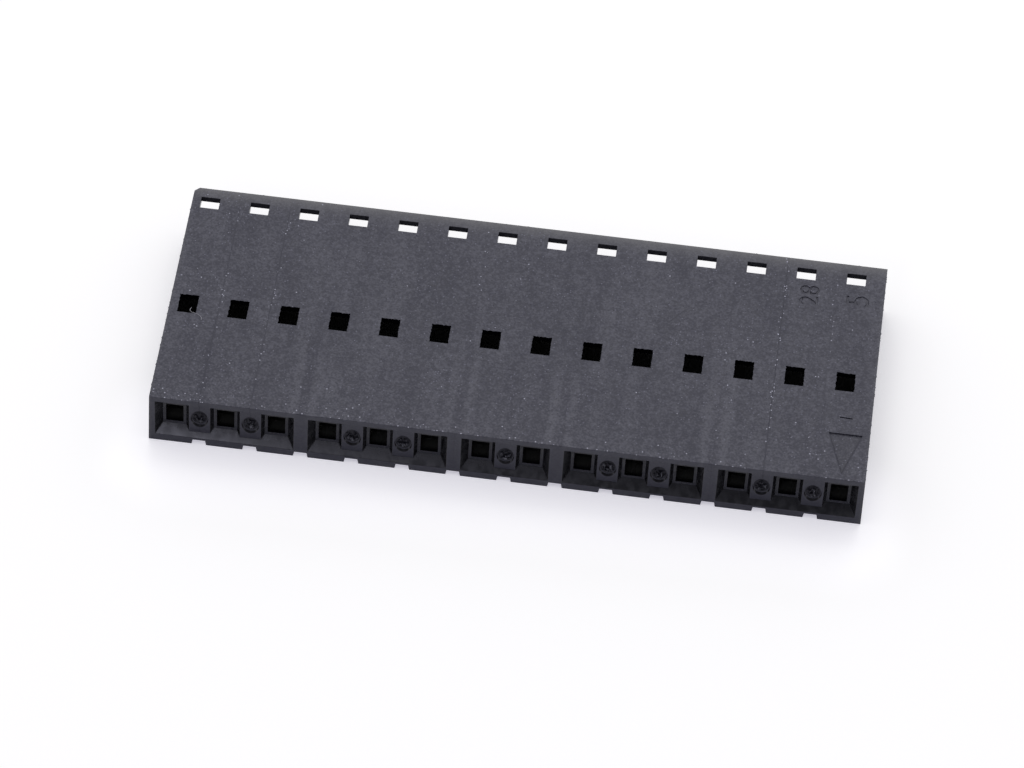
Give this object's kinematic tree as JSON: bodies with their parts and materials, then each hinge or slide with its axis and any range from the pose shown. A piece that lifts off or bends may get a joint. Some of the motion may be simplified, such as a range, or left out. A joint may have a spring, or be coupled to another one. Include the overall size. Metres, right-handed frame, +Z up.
{
  "type": "connector receptacle housing",
  "caption": "Flat single-row receptacle housing for crimp terminals, with square pin holes, latch windows and open wire entries.",
  "frame": {"origin": "centre of the body's outline, on the plane of the underside", "axes": "+X along the row of circuits towards circuit 1, +Y from the mating face to the wire entry, +Z up through the wall with the latch windows"},
  "size_m": [0.0356, 0.0144, 0.0032],
  "materials": {
    "black_plastic": "black glass-filled nylon with a fine spark-eroded texture"
  },
  "bodies": {
    "root": {"housing": "black_plastic"}
  },
  "joints": []
}
